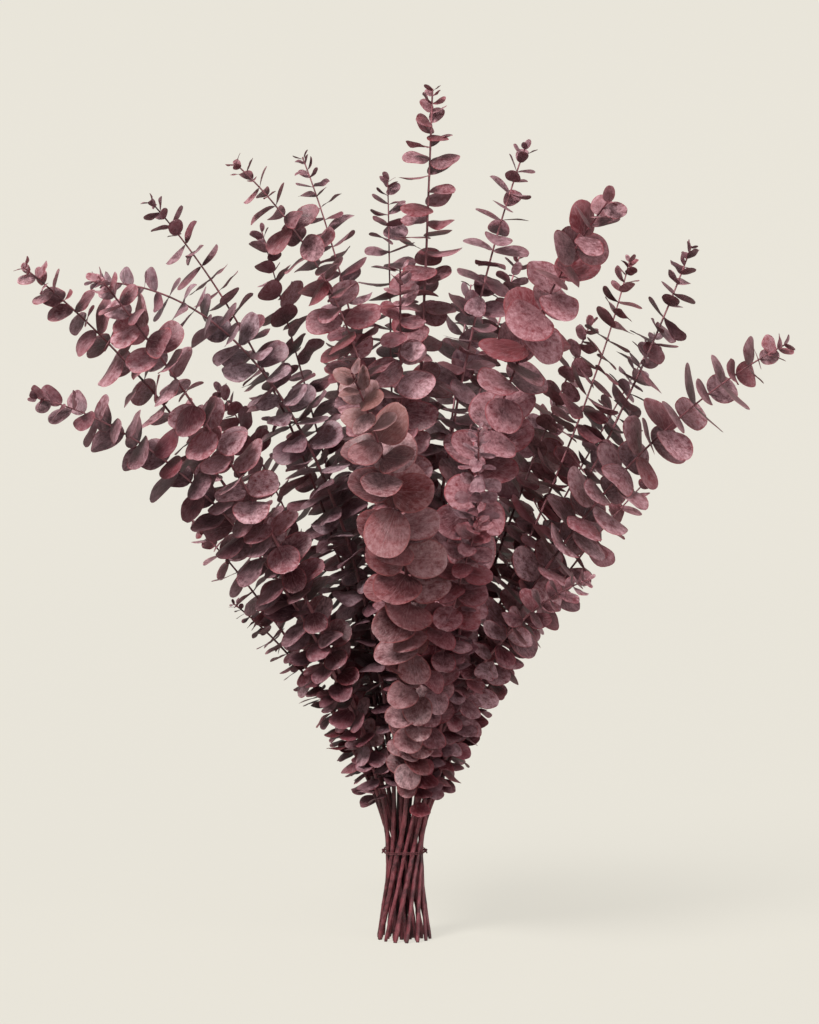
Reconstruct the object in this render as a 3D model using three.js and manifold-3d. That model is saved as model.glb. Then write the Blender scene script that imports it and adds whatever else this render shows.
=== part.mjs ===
// A hand-tied bunch of dried eucalyptus that stands on its cut ends.
// Millimetres, +Z up. The origin is on the standing surface, at the cut end of the middle stem.
// The stems lie in rings, one inside the other, that turn opposite ways round the bunch, so they pass
// one another without touching, as in a spiral bouquet. Each leafy stem is one solid, and the thread
// that ties the bunch is another.

import * as THREE from 'three';
import { mergeVertices } from 'three/addons/utils/BufferGeometryUtils.js';
import Module from 'manifold-3d';

const wasm = await Module();
wasm.setup();

// Driving dimensions
const tieHeight = 68;
const footFlare = 1.55;
const ringSpacing = 4.25;
const stemFootDiameter = 4;
const stemTipDiameter = 1.3;
const threadDiameter = 1.3;
const tieBandHeight = 2.6;
const knotRadius = 2.1;
const seatGap = 0.3;

// Shares of a stem's reach over which it keeps its direction, just above the tie and at the tip, and
// how far a tip that droops also leans out
const straightAfterTie = 0.16;
const straightAtTip = 0.4;
const droopOutward = 0.6;

// Facets of a stem: its sides, the longest step along its bare part, how the steps lengthen up from
// the tie, and how far below a leaf pair a step ends
const stemSides = 5;
const longestStemStep = 42;
const stepGrowth = 1.6;
const underPair = 3;

// Leaf pairs, from the tip of a stem down: the first one's distance, and the space between pairs as a
// share of the leaf there, near the tip and deep in the bunch
const firstPairFromTip = 2;
const spacingAtTip = 0.56;
const spacingDeep = 0.4;
const deepFromTip = 200;

// A leaf's length as a share of full length, from the tip down, the full length and roundness that it
// has deep and low in the bunch, and its stalk
const tipLeafShare = 0.2;
const tipNarrowing = 0.3;
const lengthsToFull = 3;
const growthPower = 0.5;
const deepLeaf = 25;
const deepGrowth = 1.25;
const deepRound = 0.86;
const lowLeaf = 15;
const smallestAtHeight = 100;
const fullSizeFromHeight = 300;
const stalkLength = 0.8;

// Each pair lies crosswise to the next one. Where the bunch was pressed flat in drying, pairs also lean
// to face away from an upright line behind its middle, and turn more nearly side by side.
const startTurn = 25;
const pairDrift = 3;
const crossedTurn = 45;
const ranksPressed = 0.4;
const pressedFrom = [0, 120];
const facingShare = 0.72;
const facingUp = 0.2;
const liftAtTip = 50;
const liftFullSize = 8;
const pairSpread = { turn: 18, tilt: 14, roll: 22 };
const spread = { turn: 6, lift: 12, roll: 10, length: 0.14, width: 0.1 };

// Each new try at a place for a leaf turns, lifts and rolls it by degrees, and makes it a little smaller
const placingTries = 14;
const retry = { turn: 9, lift: 3, roll: 5, shrink: 0.035 };
const bladeClearance = 1.3;
const rimMargin = 0.4;
const rimCount = 12;
const stemSearchMargin = 12;
const stemPoints = 150;

// The solids hold one leaf pair in this many. A solid blade has its corners in degrees round its oval
// from the tip, and its stalk measured against the stem.
const pairsPerSolidPair = 9;
const bladeThickness = 0.8;
const bladeCorners = [32, 100];
const stalkWidthShare = 0.35;
const rootSinkShare = 0.6;

const leafColours = {
  plum: 0x4b2f3f,
  grey: 0x6b5563,
  burgundy: 0x6a2532,
  rose: 0x8a4450,
  russet: 0x7a4038,
};

// Each stem's tip is where the stem ends. leaf is the length of a full-grown leaf and round its width
// as a share of that. droop bends the tip outwards and down, sway bends it sideways, anticlockwise as
// seen from above, pressed is how far its leaves were pressed flat, and bare is the height of its first
// leaf.
const rings = [
  {
    name: 'outer',
    waistRadius: 3 * ringSpacing,
    turn: 1,
    firstAngle: -10,
    stems: [
      { tip: [188, 20, 353], leaf: 21, round: 0.9, droop: 0.2, pressed: 0.5, bare: 108, hue: 'burgundy' },
      { tip: [200, 130, 458], leaf: 22, round: 0.85, droop: 0.1, pressed: 0.5, bare: 130, hue: 'grey' },
      { tip: [130, 234, 405], leaf: 24, round: 0.9, droop: 0.2, pressed: 0.5, bare: 115, hue: 'plum' },
      { tip: [-54, 220, 464], leaf: 24, round: 0.9, droop: 0.1, pressed: 0.5, bare: 110, hue: 'grey' },
      { tip: [-150, 170, 415], leaf: 24, round: 0.9, droop: 0.2, pressed: 0.5, bare: 115, hue: 'plum' },
      { tip: [-134, 60, 252], leaf: 14, round: 0.75, droop: 0.3, pressed: 0.4, bare: 106, hue: 'plum' },
      { tip: [-164, 10, 322], leaf: 18, round: 0.9, droop: 0.2, pressed: 0.4, bare: 112, hue: 'rose' },
      { tip: [-281, -60, 513], leaf: 26, round: 0.85, droop: 0.3, pressed: 0.35, bare: 125, hue: 'rose' },
      { tip: [-262, -150, 420], leaf: 27, round: 0.85, droop: 0.55, pressed: 0.4, bare: 112, hue: 'plum' },
      { tip: [-228, -90, 502], leaf: 20, round: 0.65, droop: 0.9, pressed: 0.35, bare: 118, hue: 'grey' },
      {
        tip: [-36, -230, 440], leaf: 34, round: 1, droop: 0.1, sway: -0.25, pressed: 0.75, bare: 125,
        hue: 'russet',
      },
      { tip: [54, -150, 333], leaf: 22, round: 0.95, droop: 0.2, pressed: 0.6, bare: 108, hue: 'burgundy' },
      {
        tip: [52, -180, 399], leaf: 14, round: 0.65, droop: 0.2, sway: -0.2, pressed: 0.15, bare: 108,
        hue: 'plum',
      },
      { tip: [277, -100, 457], leaf: 30, round: 0.95, droop: 0.38, pressed: 0.5, bare: 118, hue: 'rose' },
    ],
  },
  {
    name: 'middle',
    waistRadius: 2 * ringSpacing,
    turn: -1,
    firstAngle: 25,
    stems: [
      { tip: [223, 70, 530], leaf: 20, round: 0.8, droop: -0.1, pressed: 0.35, bare: 130, hue: 'plum' },
      { tip: [149, 130, 471], leaf: 22, round: 0.9, droop: 0.1, pressed: 0.35, bare: 130, hue: 'burgundy' },
      { tip: [54, 190, 500], leaf: 24, round: 0.9, droop: 0.1, pressed: 0.4, bare: 130, hue: 'grey' },
      { tip: [-114, 130, 543], leaf: 24, round: 0.85, droop: 0.1, pressed: 0.4, bare: 130, hue: 'plum' },
      { tip: [-195, 40, 564], leaf: 22, round: 0.7, droop: 0.33, pressed: 0.35, bare: 130, hue: 'plum' },
      { tip: [-215, -170, 506], leaf: 26, round: 0.95, droop: 0.2, pressed: 0.45, bare: 130, hue: 'rose' },
      {
        tip: [-120, -150, 586], leaf: 22, round: 0.75, droop: 0.4, sway: -0.3, pressed: 0.3, bare: 120,
        hue: 'burgundy',
      },
      { tip: [136, -90, 285], leaf: 19, round: 0.75, droop: 0.5, pressed: 0.4, bare: 104, hue: 'rose' },
      { tip: [142, -190, 558], leaf: 34, round: 1, droop: 0.38, pressed: 0.65, bare: 130, hue: 'burgundy' },
    ],
  },
  {
    name: 'inner',
    waistRadius: ringSpacing,
    turn: 1,
    firstAngle: 0,
    stems: [
      {
        tip: [173, 40, 519], leaf: 22, round: 0.85, droop: -0.15, pressed: 0.4, bare: 170,
        hue: 'burgundy',
      },
      { tip: [91, 120, 522], leaf: 20, round: 0.85, droop: 0.2, pressed: 0.4, bare: 170, hue: 'plum' },
      { tip: [-13, 60, 581], leaf: 24, round: 0.9, droop: 0, pressed: 0.35, bare: 170, hue: 'plum' },
      { tip: [-77, 0, 596], leaf: 20, round: 0.65, droop: 0.25, pressed: 0.3, bare: 170, hue: 'plum' },
      { tip: [-3, -90, 512], leaf: 25, round: 0.95, droop: 0, pressed: 0.6, bare: 140, hue: 'rose' },
      { tip: [90, -30, 602], leaf: 24, round: 0.8, droop: 0.2, pressed: 0.4, bare: 170, hue: 'plum' },
    ],
  },
  {
    name: 'centre',
    waistRadius: 0,
    turn: -1,
    firstAngle: 0,
    stems: [
      { tip: [21, -20, 646], leaf: 22, round: 0.9, droop: 0, pressed: 0.4, bare: 220, hue: 'burgundy' },
    ],
  },
];

const up = new THREE.Vector3(0, 0, 1);

// A number from 0 to 1 that depends only on the four whole numbers given
function draw(a, b, c, d) {
  let h = Math.imul(a + 11, 374761393) ^ Math.imul(b + 23, 668265263);
  h ^= Math.imul(c + 37, 1274126177) ^ Math.imul(d + 53, 974634777);
  h = Math.imul(h ^ (h >>> 15), 2246822519);
  h = Math.imul(h ^ (h >>> 13), 3266489917);
  return ((h ^ (h >>> 16)) >>> 0) / 4294967296;
}

// The same, as a number from -reach to reach
function drawAbout(reach, a, b, c, d) {
  return reach * (2 * draw(a, b, c, d) - 1);
}

function solidOf(geometry) {
  const bare = geometry.clone();
  bare.deleteAttribute('normal');
  bare.deleteAttribute('uv');
  const merged = mergeVertices(bare, 1e-5);
  return new wasm.Manifold(new wasm.Mesh({
    numProp: 3,
    vertProperties: new Float32Array(merged.attributes.position.array),
    triVerts: new Uint32Array(merged.index.array),
  }));
}

function geometryOf(solid) {
  const mesh = solid.getMesh();
  const geometry = new THREE.BufferGeometry();
  geometry.setAttribute('position', new THREE.BufferAttribute(new Float32Array(mesh.vertProperties), 3));
  geometry.setIndex(new THREE.BufferAttribute(new Uint32Array(mesh.triVerts), 1));
  geometry.computeVertexNormals();
  return geometry;
}

// Straight from the foot to the tie, then one bend from the tie to the tip
function stemPath(ring, slot, stem) {
  const angle = THREE.MathUtils.degToRad(ring.firstAngle + (360 * slot) / ring.stems.length);
  const waist = new THREE.Vector3(
    ring.waistRadius * Math.cos(angle),
    ring.waistRadius * Math.sin(angle),
    tieHeight,
  );
  const sideways = new THREE.Vector3(-Math.sin(angle), Math.cos(angle), 0).multiplyScalar(ring.turn);
  const lean = (ring.waistRadius * Math.sqrt(footFlare * footFlare - 1)) / tieHeight;
  const rise = up.clone().addScaledVector(sideways, lean);
  const foot = waist.clone().addScaledVector(rise, -tieHeight);
  const tip = new THREE.Vector3(...stem.tip);
  const chord = tip.clone().sub(waist);
  const reach = chord.length();
  const outward = new THREE.Vector3(chord.x, chord.y, 0).normalize();
  const end = chord.clone().normalize();
  end.addScaledVector(outward, droopOutward * stem.droop).addScaledVector(up, -stem.droop);
  end.addScaledVector(new THREE.Vector3(-outward.y, outward.x, 0), stem.sway ?? 0).normalize();
  const bend = new THREE.CubicBezierCurve3(
    waist,
    waist.clone().addScaledVector(rise.clone().normalize(), straightAfterTie * reach),
    tip.clone().addScaledVector(end, -straightAtTip * reach),
    tip,
  );
  return { foot, waist, bend, reach: bend.getLength() };
}

function stemRadius(shareOfBend) {
  return (stemFootDiameter + (stemTipDiameter - stemFootDiameter) * shareOfBend) / 2;
}

// Points down the middle of a stem with the stem's radius at each, from the foot to the tip
function stemCentres(path, shares) {
  const bent = shares.map((share) => ({ point: path.bend.getPointAt(share), radius: stemRadius(share) }));
  return [{ point: path.foot, radius: stemRadius(0) }, ...bent];
}

// Shares of the bend, closest together above the tie, up to the first solid leaf pair, then one just
// under each pair, then the tip
function solidShares(path, pairDistancesUp) {
  const underPairs = pairDistancesUp.map((distance) => 1 - (distance + underPair) / path.reach);
  const bareSteps = Math.ceil((underPairs[0] * path.reach) / longestStemStep) + 1;
  const bare = Array.from({ length: bareSteps }, (_, i) => underPairs[0] * (i / bareSteps) ** stepGrowth);
  return [...bare, ...underPairs, 1];
}

// Two directions square to a stem's run and to each other
function across(run) {
  const first = new THREE.Vector3().crossVectors(run, new THREE.Vector3(0, 1, 0)).normalize();
  const second = new THREE.Vector3().crossVectors(first, run).normalize();
  return [first, second];
}

// A tapered rod with its rings of points laid along the path, cut level at its foot
function stemSolid(path, shares) {
  const centres = stemCentres(path, shares);
  const below = path.foot.clone().lerp(path.waist, -stemFootDiameter / tieHeight);
  centres[0] = { point: below, radius: stemRadius(0) };
  const rod = new THREE.CylinderGeometry(1, 1, centres.length - 1, stemSides, centres.length - 1);
  const position = rod.attributes.position;
  for (let i = 0; i < position.count; i += 1) {
    const step = Math.round(position.getY(i) + (centres.length - 1) / 2);
    const { point, radius } = centres[step];
    const before = centres[Math.max(step - 1, 0)].point;
    const after = centres[Math.min(step + 1, centres.length - 1)].point;
    const [first, second] = across(after.clone().sub(before).normalize());
    const placed = point.clone()
      .addScaledVector(first, radius * position.getX(i))
      .addScaledVector(second, radius * position.getZ(i));
    position.setXYZ(i, placed.x, placed.y, placed.z);
  }
  const belowGround = new THREE.BoxGeometry(2 * tieHeight, 2 * tieHeight, tieHeight);
  belowGround.translate(0, 0, -tieHeight / 2);
  return solidOf(rod).subtract(solidOf(belowGround));
}

// Leaves grow longer from the tip down, and are shorter again low in the bunch
function growthFrom(distance, fullLength) {
  return Math.min(1, distance / (fullLength * lengthsToFull)) ** growthPower;
}

function depthFrom(distance) {
  return Math.min(1, distance / deepFromTip);
}

function leafLength(fullLength, distance, height) {
  const raised = (height - smallestAtHeight) / (fullSizeFromHeight - smallestAtHeight);
  const deepest = Math.max(fullLength, Math.min(deepLeaf, fullLength * deepGrowth));
  const deeper = THREE.MathUtils.lerp(fullLength, deepest, depthFrom(distance));
  const lowest = Math.min(lowLeaf, deeper);
  const longest = THREE.MathUtils.lerp(lowest, deeper, THREE.MathUtils.clamp(raised, 0, 1));
  return longest * THREE.MathUtils.lerp(tipLeafShare, 1, growthFrom(distance, fullLength));
}

// Distances from the tip, along the stem, of its leaf pairs
function pairDistances(path, stem) {
  const distances = [];
  let distance = firstPairFromTip;
  let height = stem.tip[2];
  while (distance < path.reach && height > stem.bare) {
    distances.push(distance);
    const spacing = THREE.MathUtils.lerp(spacingAtTip, spacingDeep, depthFrom(distance));
    distance += spacing * leafLength(stem.leaf, distance, height);
    height = path.bend.getPointAt(Math.max(0, 1 - distance / path.reach)).z;
  }
  return distances;
}

// A leaf as a flat oval: its middle, its long, wide and thick directions, and its half sizes
function leafPlate(path, stem, stemNumber, pair, side, distance, attempt) {
  const share = 1 - distance / path.reach;
  const root = path.bend.getPointAt(share);
  const run = path.bend.getTangentAt(share);
  const grown = growthFrom(distance, stem.leaf);
  const pressed = grown * stem.pressed;
  const facing = pressed * facingShare;
  const away = new THREE.Vector3(root.x - pressedFrom[0], root.y - pressedFrom[1], 0).normalize();
  const along = run.clone().multiplyScalar(1 - facing)
    .addScaledVector(away, facing)
    .addScaledVector(up, facingUp * facing)
    .normalize();
  const first = new THREE.Vector3(-away.y, away.x, 0);
  first.addScaledVector(along, -first.dot(along)).normalize();
  const second = new THREE.Vector3().crossVectors(along, first);
  const nudge = Math.ceil(attempt / 2) * (attempt % 2 === 0 ? 1 : -1);
  const crossed = crossedTurn * (1 - ranksPressed * pressed) * (pair % 2 === 0 ? 1 : -1);
  const turn = THREE.MathUtils.degToRad(
    drawAbout(startTurn, stemNumber, 0, 0, 1) + pairDrift * pair + crossed + 180 * side
      + retry.turn * nudge + drawAbout(pairSpread.turn, stemNumber, pair, 2, 2)
      + drawAbout(spread.turn, stemNumber, pair, side, 2),
  );
  // Both leaves of a pair share a plane, which tilts and rolls as one
  const handed = 1 - 2 * side;
  const lift = THREE.MathUtils.degToRad(
    THREE.MathUtils.lerp(liftAtTip, liftFullSize, grown) + retry.lift * attempt
      + handed * drawAbout(pairSpread.tilt, stemNumber, pair, 2, 3)
      + drawAbout(spread.lift, stemNumber, pair, side, 3),
  );
  const roll = THREE.MathUtils.degToRad(
    retry.roll * nudge + handed * drawAbout(pairSpread.roll, stemNumber, pair, 2, 4)
      + drawAbout(spread.roll, stemNumber, pair, side, 4),
  );
  const length = leafLength(stem.leaf, distance, root.z) * (1 - retry.shrink * attempt)
    * (1 + drawAbout(spread.length, stemNumber, pair, side, 5));
  const round = THREE.MathUtils.lerp(stem.round, Math.max(stem.round, deepRound), depthFrom(distance));
  const width = length * (round - tipNarrowing * (1 - grown))
    * (1 + drawAbout(spread.width, stemNumber, pair, side, 6));
  const out = first.clone().multiplyScalar(Math.cos(turn)).addScaledVector(second, Math.sin(turn));
  const long = out.clone().multiplyScalar(Math.cos(lift)).addScaledVector(along, Math.sin(lift));
  const flat = new THREE.Vector3().crossVectors(along, out).normalize();
  const face = new THREE.Vector3().crossVectors(long, flat);
  const wide = flat.clone().multiplyScalar(Math.cos(roll)).addScaledVector(face, Math.sin(roll));
  const thick = new THREE.Vector3().crossVectors(long, wide);
  const middle = root.clone().addScaledVector(long, stalkLength + length / 2);
  return {
    stemNumber, pair, side, root, long, wide, thick, middle, halfLength: length / 2, halfWidth: width / 2,
  };
}

function rimPoints(plate) {
  const points = [];
  for (let i = 0; i < rimCount; i += 1) {
    const angle = (Math.PI * 2 * i) / rimCount;
    points.push(plate.middle.clone()
      .addScaledVector(plate.long, plate.halfLength * Math.cos(angle))
      .addScaledVector(plate.wide, plate.halfWidth * Math.sin(angle)));
  }
  points.push(points[0]);
  return points;
}

// True where a line of points passes through a leaf, or comes nearer to it than the clearance
function lineMeetsPlate(points, plate, clearance, margin) {
  const offset = new THREE.Vector3();
  let before = null;
  for (const point of points) {
    offset.subVectors(point, plate.middle);
    const here = {
      height: offset.dot(plate.thick),
      along: offset.dot(plate.long) / (plate.halfLength + margin),
      beside: offset.dot(plate.wide) / (plate.halfWidth + margin),
    };
    if (Math.abs(here.height) < clearance && here.along ** 2 + here.beside ** 2 < 1) {
      return true;
    }
    if (before && before.height * here.height < 0) {
      const share = before.height / (before.height - here.height);
      const along = before.along + share * (here.along - before.along);
      const beside = before.beside + share * (here.beside - before.beside);
      if (along ** 2 + beside ** 2 < 1) {
        return true;
      }
    }
    before = here;
  }
  return false;
}

function platesMeet(one, other) {
  const near = one.halfLength + other.halfLength + bladeClearance;
  if (one.middle.distanceToSquared(other.middle) > near * near) {
    return false;
  }
  return lineMeetsPlate(one.rim, other, bladeClearance, rimMargin)
    || lineMeetsPlate(other.rim, one, bladeClearance, rimMargin);
}

function plateMeetsStems(plate, stemLines) {
  return stemLines.some((line, number) => {
    if (number === plate.stemNumber) {
      return false;
    }
    const reach = plate.halfLength + stemSearchMargin;
    const near = line.filter(({ point }) => point.distanceTo(plate.middle) < reach);
    if (near.length === 0) {
      return false;
    }
    const radius = near[0].radius;
    const clearance = radius + bladeThickness / 2 + seatGap;
    return lineMeetsPlate(near.map(({ point }) => point), plate, clearance, radius + seatGap);
  });
}

// Leaves are set from the tips down, turned and lifted until each is clear of all that are set
function setLeaves(stems) {
  const fine = Array.from({ length: stemPoints + 1 }, (_, i) => i / stemPoints);
  const stemLines = stems.map(({ path }) => stemCentres(path, fine));
  const plates = [];
  const longest = Math.max(...stems.map(({ distances }) => distances.length));
  for (let pair = 0; pair < longest; pair += 1) {
    stems.forEach(({ stem, path, distances }, stemNumber) => {
      if (pair >= distances.length) {
        return;
      }
      for (const side of [0, 1]) {
        for (let attempt = 0; attempt < placingTries; attempt += 1) {
          const plate = leafPlate(path, stem, stemNumber, pair, side, distances[pair], attempt);
          plate.rim = rimPoints(plate);
          if (!plateMeetsStems(plate, stemLines) && !plates.some((other) => platesMeet(plate, other))) {
            plates.push(plate);
            break;
          }
        }
      }
    });
  }
  return plates;
}

// A blade is a flat outline of a few corners on a short stalk, whose root is sunk past the stem's middle
function bladeSolid(plate, radius) {
  const middle = stalkLength + plate.halfLength;
  const side = bladeCorners.map((degrees) => {
    const angle = THREE.MathUtils.degToRad(degrees);
    return [middle + plate.halfLength * Math.cos(angle), plate.halfWidth * Math.sin(angle)];
  });
  side.push([radius + bladeThickness / 2, Math.max(stalkWidthShare * radius, bladeThickness / 2)]);
  const outline = new THREE.Shape([
    new THREE.Vector2(-rootSinkShare * radius, 0),
    ...side.toReversed().map(([x, y]) => new THREE.Vector2(x, -y)),
    ...side.map(([x, y]) => new THREE.Vector2(x, y)),
  ]);
  const blade = new THREE.ExtrudeGeometry(outline, { depth: bladeThickness, bevelEnabled: false });
  blade.translate(0, 0, -bladeThickness / 2);
  const placing = new THREE.Matrix4().makeBasis(plate.long, plate.wide, plate.thick);
  placing.setPosition(plate.root);
  blade.applyMatrix4(placing);
  return solidOf(blade);
}

function leafyStemMesh(entry, plates) {
  const heights = [...new Set(plates.map(({ pair }) => entry.distances[pair]))].reverse();
  let solid = stemSolid(entry.path, solidShares(entry.path, heights));
  for (const plate of plates) {
    const share = 1 - entry.distances[plate.pair] / entry.path.reach;
    solid = solid.add(bladeSolid(plate, stemRadius(share)));
  }
  const material = new THREE.MeshStandardMaterial({
    color: leafColours[entry.stem.hue],
    roughness: 0.85,
    metalness: 0,
  });
  const mesh = new THREE.Mesh(geometryOf(solid), material);
  mesh.name = entry.name;
  return mesh;
}

// A wound thread as one band round the outer ring of stems, with a small knot on each side
function tieMesh() {
  const segments = 24;
  const touching = rings[0].waistRadius + stemFootDiameter / 2;
  const innerRadius = (touching + seatGap) / Math.cos(Math.PI / segments);
  const band = new THREE.TorusGeometry(innerRadius + threadDiameter / 2, threadDiameter / 2, 6, segments);
  band.scale(1, 1, tieBandHeight / threadDiameter);
  band.translate(0, 0, tieHeight);
  let solid = solidOf(band);
  for (const side of [-1, 1]) {
    const knot = new THREE.IcosahedronGeometry(knotRadius, 0);
    knot.translate(side * (innerRadius + knotRadius), 0, tieHeight);
    solid = solid.add(solidOf(knot));
  }
  const material = new THREE.MeshStandardMaterial({ color: 0x3a1d24, roughness: 0.8, metalness: 0 });
  const mesh = new THREE.Mesh(geometryOf(solid), material);
  mesh.name = 'tie';
  return mesh;
}

const stems = rings.flatMap((ring) => ring.stems.map((stem, slot) => {
  const path = stemPath(ring, slot, stem);
  return {
    name: `leafy_stem_${ring.name}_${String(slot + 1).padStart(2, '0')}`,
    stem,
    path,
    distances: pairDistances(path, stem),
  };
}));

const leaves = setLeaves(stems);

const bunch = new THREE.Group();
bunch.name = 'eucalyptus_bunch';
stems.forEach((entry, stemNumber) => {
  const own = leaves.filter((leaf) => leaf.stemNumber === stemNumber
    && leaf.pair % pairsPerSolidPair === 1);
  bunch.add(leafyStemMesh(entry, own));
});
bunch.add(tieMesh());

export default bunch;
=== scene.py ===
# A hand-tied bunch of dried eucalyptus, standing on its cut ends
import math

import bpy
import numpy as np
from mathutils import Matrix, Vector


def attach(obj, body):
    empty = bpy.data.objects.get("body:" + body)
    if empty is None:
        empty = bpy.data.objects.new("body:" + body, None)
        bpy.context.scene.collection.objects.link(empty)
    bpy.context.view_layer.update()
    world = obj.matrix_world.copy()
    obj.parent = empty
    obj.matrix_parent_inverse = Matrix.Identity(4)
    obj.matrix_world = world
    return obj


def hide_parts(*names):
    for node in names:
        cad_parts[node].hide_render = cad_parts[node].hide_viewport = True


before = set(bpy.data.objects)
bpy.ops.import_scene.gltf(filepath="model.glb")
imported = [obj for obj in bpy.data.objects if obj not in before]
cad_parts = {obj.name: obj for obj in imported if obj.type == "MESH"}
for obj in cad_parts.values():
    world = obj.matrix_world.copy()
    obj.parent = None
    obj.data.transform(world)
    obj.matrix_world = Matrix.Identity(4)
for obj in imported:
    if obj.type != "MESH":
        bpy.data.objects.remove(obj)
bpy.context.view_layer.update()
scene = bpy.context.scene
mm = 0.001

# How the stems and leaves lie, in millimetres and degrees, with the same rule as the solids
bunch = {
    # the stems, from their cut ends to their tips
    "tieHeight": 68, "footFlare": 1.55, "ringSpacing": 4.25,
    "footDiameter": 4, "tipDiameter": 1.3, "seatGap": 0.3,
    "straightAfterTie": 0.16, "straightAtTip": 0.4, "droopOutward": 0.6,
    # where the pairs of leaves grow
    "firstPairFromTip": 2, "spacingAtTip": 0.56, "spacingDeep": 0.4, "deepFromTip": 200,
    # leaf sizes, near the tip, deep in the bunch and low down
    "tipLeafShare": 0.2, "tipNarrowing": 0.3, "lengthsToFull": 3, "growthPower": 0.5, "stalkLength": 0.8,
    "deepLeaf": 25, "deepGrowth": 1.25, "deepRound": 0.86,
    "lowLeaf": 15, "smallestAtHeight": 100, "fullSizeFromHeight": 300,
    # how leaves face, turn and lift
    "pressedFrom": (0, 120), "facingShare": 0.72, "facingUp": 0.2,
    "startTurn": 25, "pairDrift": 3, "crossedTurn": 45, "ranksPressed": 0.4,
    "liftAtTip": 50, "liftFullSize": 8,
    "pairTurn": 18, "pairTilt": 14, "pairRoll": 22,
    "turnSpread": 6, "liftSpread": 12, "rollSpread": 10, "lengthSpread": 0.14, "widthSpread": 0.1,
    # how a leaf is moved until it is clear of the rest, and how clear that is
    "tries": 14, "retryTurn": 9, "retryLift": 3, "retryRoll": 5, "retryShrink": 0.035,
    "clearance": 1.3, "rimMargin": 0.4, "rimCount": 12, "stemMargin": 12, "stemPoints": 150,
    "bladeThickness": 0.8,
}

# Each stem: tip (x, y, z), leaf length, width as a share of it, droop, sway, how far pressed flat, the
# height of its lowest leaves, and its hue. A ring turns one way or the other, so many spacings out.
rings = {
    "outer": {"steps": 3, "turn": 1, "firstAngle": -10, "stems": [
        ((188, 20, 353), 21, 0.9, 0.2, 0, 0.5, 108, "burgundy"),
        ((200, 130, 458), 22, 0.85, 0.1, 0, 0.5, 130, "grey"),
        ((130, 234, 405), 24, 0.9, 0.2, 0, 0.5, 115, "plum"),
        ((-54, 220, 464), 24, 0.9, 0.1, 0, 0.5, 110, "grey"),
        ((-150, 170, 415), 24, 0.9, 0.2, 0, 0.5, 115, "plum"),
        ((-134, 60, 252), 14, 0.75, 0.3, 0, 0.4, 106, "plum"),
        ((-164, 10, 322), 18, 0.9, 0.2, 0, 0.4, 112, "rose"),
        ((-281, -60, 513), 26, 0.85, 0.3, 0, 0.35, 125, "rose"),
        ((-262, -150, 420), 27, 0.85, 0.55, 0, 0.4, 112, "plum"),
        ((-228, -90, 502), 20, 0.65, 0.9, 0, 0.35, 118, "grey"),
        ((-36, -230, 440), 34, 1, 0.1, -0.25, 0.75, 125, "russet"),
        ((54, -150, 333), 22, 0.95, 0.2, 0, 0.6, 108, "burgundy"),
        ((52, -180, 399), 14, 0.65, 0.2, -0.2, 0.15, 108, "plum"),
        ((277, -100, 457), 30, 0.95, 0.38, 0, 0.5, 118, "rose"),
    ]},
    "middle": {"steps": 2, "turn": -1, "firstAngle": 25, "stems": [
        ((223, 70, 530), 20, 0.8, -0.1, 0, 0.35, 130, "plum"),
        ((149, 130, 471), 22, 0.9, 0.1, 0, 0.35, 130, "burgundy"),
        ((54, 190, 500), 24, 0.9, 0.1, 0, 0.4, 130, "grey"),
        ((-114, 130, 543), 24, 0.85, 0.1, 0, 0.4, 130, "plum"),
        ((-195, 40, 564), 22, 0.7, 0.33, 0, 0.35, 130, "plum"),
        ((-215, -170, 506), 26, 0.95, 0.2, 0, 0.45, 130, "rose"),
        ((-120, -150, 586), 22, 0.75, 0.4, -0.3, 0.3, 120, "burgundy"),
        ((136, -90, 285), 19, 0.75, 0.5, 0, 0.4, 104, "rose"),
        ((142, -190, 558), 34, 1, 0.38, 0, 0.65, 130, "burgundy"),
    ]},
    "inner": {"steps": 1, "turn": 1, "firstAngle": 0, "stems": [
        ((173, 40, 519), 22, 0.85, -0.15, 0, 0.4, 170, "burgundy"),
        ((91, 120, 522), 20, 0.85, 0.2, 0, 0.4, 170, "plum"),
        ((-13, 60, 581), 24, 0.9, 0, 0, 0.35, 170, "plum"),
        ((-77, 0, 596), 20, 0.65, 0.25, 0, 0.3, 170, "plum"),
        ((-3, -90, 512), 25, 0.95, 0, 0, 0.6, 140, "rose"),
        ((90, -30, 602), 24, 0.8, 0.2, 0, 0.4, 170, "plum"),
    ]},
    "centre": {"steps": 0, "turn": -1, "firstAngle": 0, "stems": [
        ((21, -20, 646), 22, 0.9, 0, 0, 0.4, 220, "burgundy"),
    ]},
}


# What each random number is for, and how it is hashed
drawnFor = ("startTurn", "turn", "lift", "roll", "length", "width", "curl", "cup", "wave", "taper",
            "wavePhase", "waveCount", "leafSeed", "scar", "thinness", "bendPhase", "stemSeed", "notch")
hashing = {
    "keys": ((11, 374761393), (23, 668265263), (37, 1274126177), (53, 974634777)),
    "mixes": ((15, 2246822519), (13, 3266489917)), "lastShift": 16, "full": 0xFFFFFFFF,
}
wholePair = 2  # stands for the side where both leaves of a pair share a number


# A number from 0 to 1 that depends only on what it is for and on its stem, pair and side
def draw(purpose, stem, pair=0, side=0):
    full = hashing["full"]
    mixed = 0
    for number, (offset, factor) in zip((stem, pair, side, drawnFor.index(purpose) + 1), hashing["keys"]):
        mixed ^= (number + offset) * factor & full
    for shift, factor in hashing["mixes"]:
        mixed = (mixed ^ (mixed >> shift)) * factor & full
    return (mixed ^ (mixed >> hashing["lastShift"])) / (full + 1)


def drawAbout(reach, *key):
    return reach * (2 * draw(*key) - 1)


def unit(v):
    return v / np.linalg.norm(v)


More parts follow.
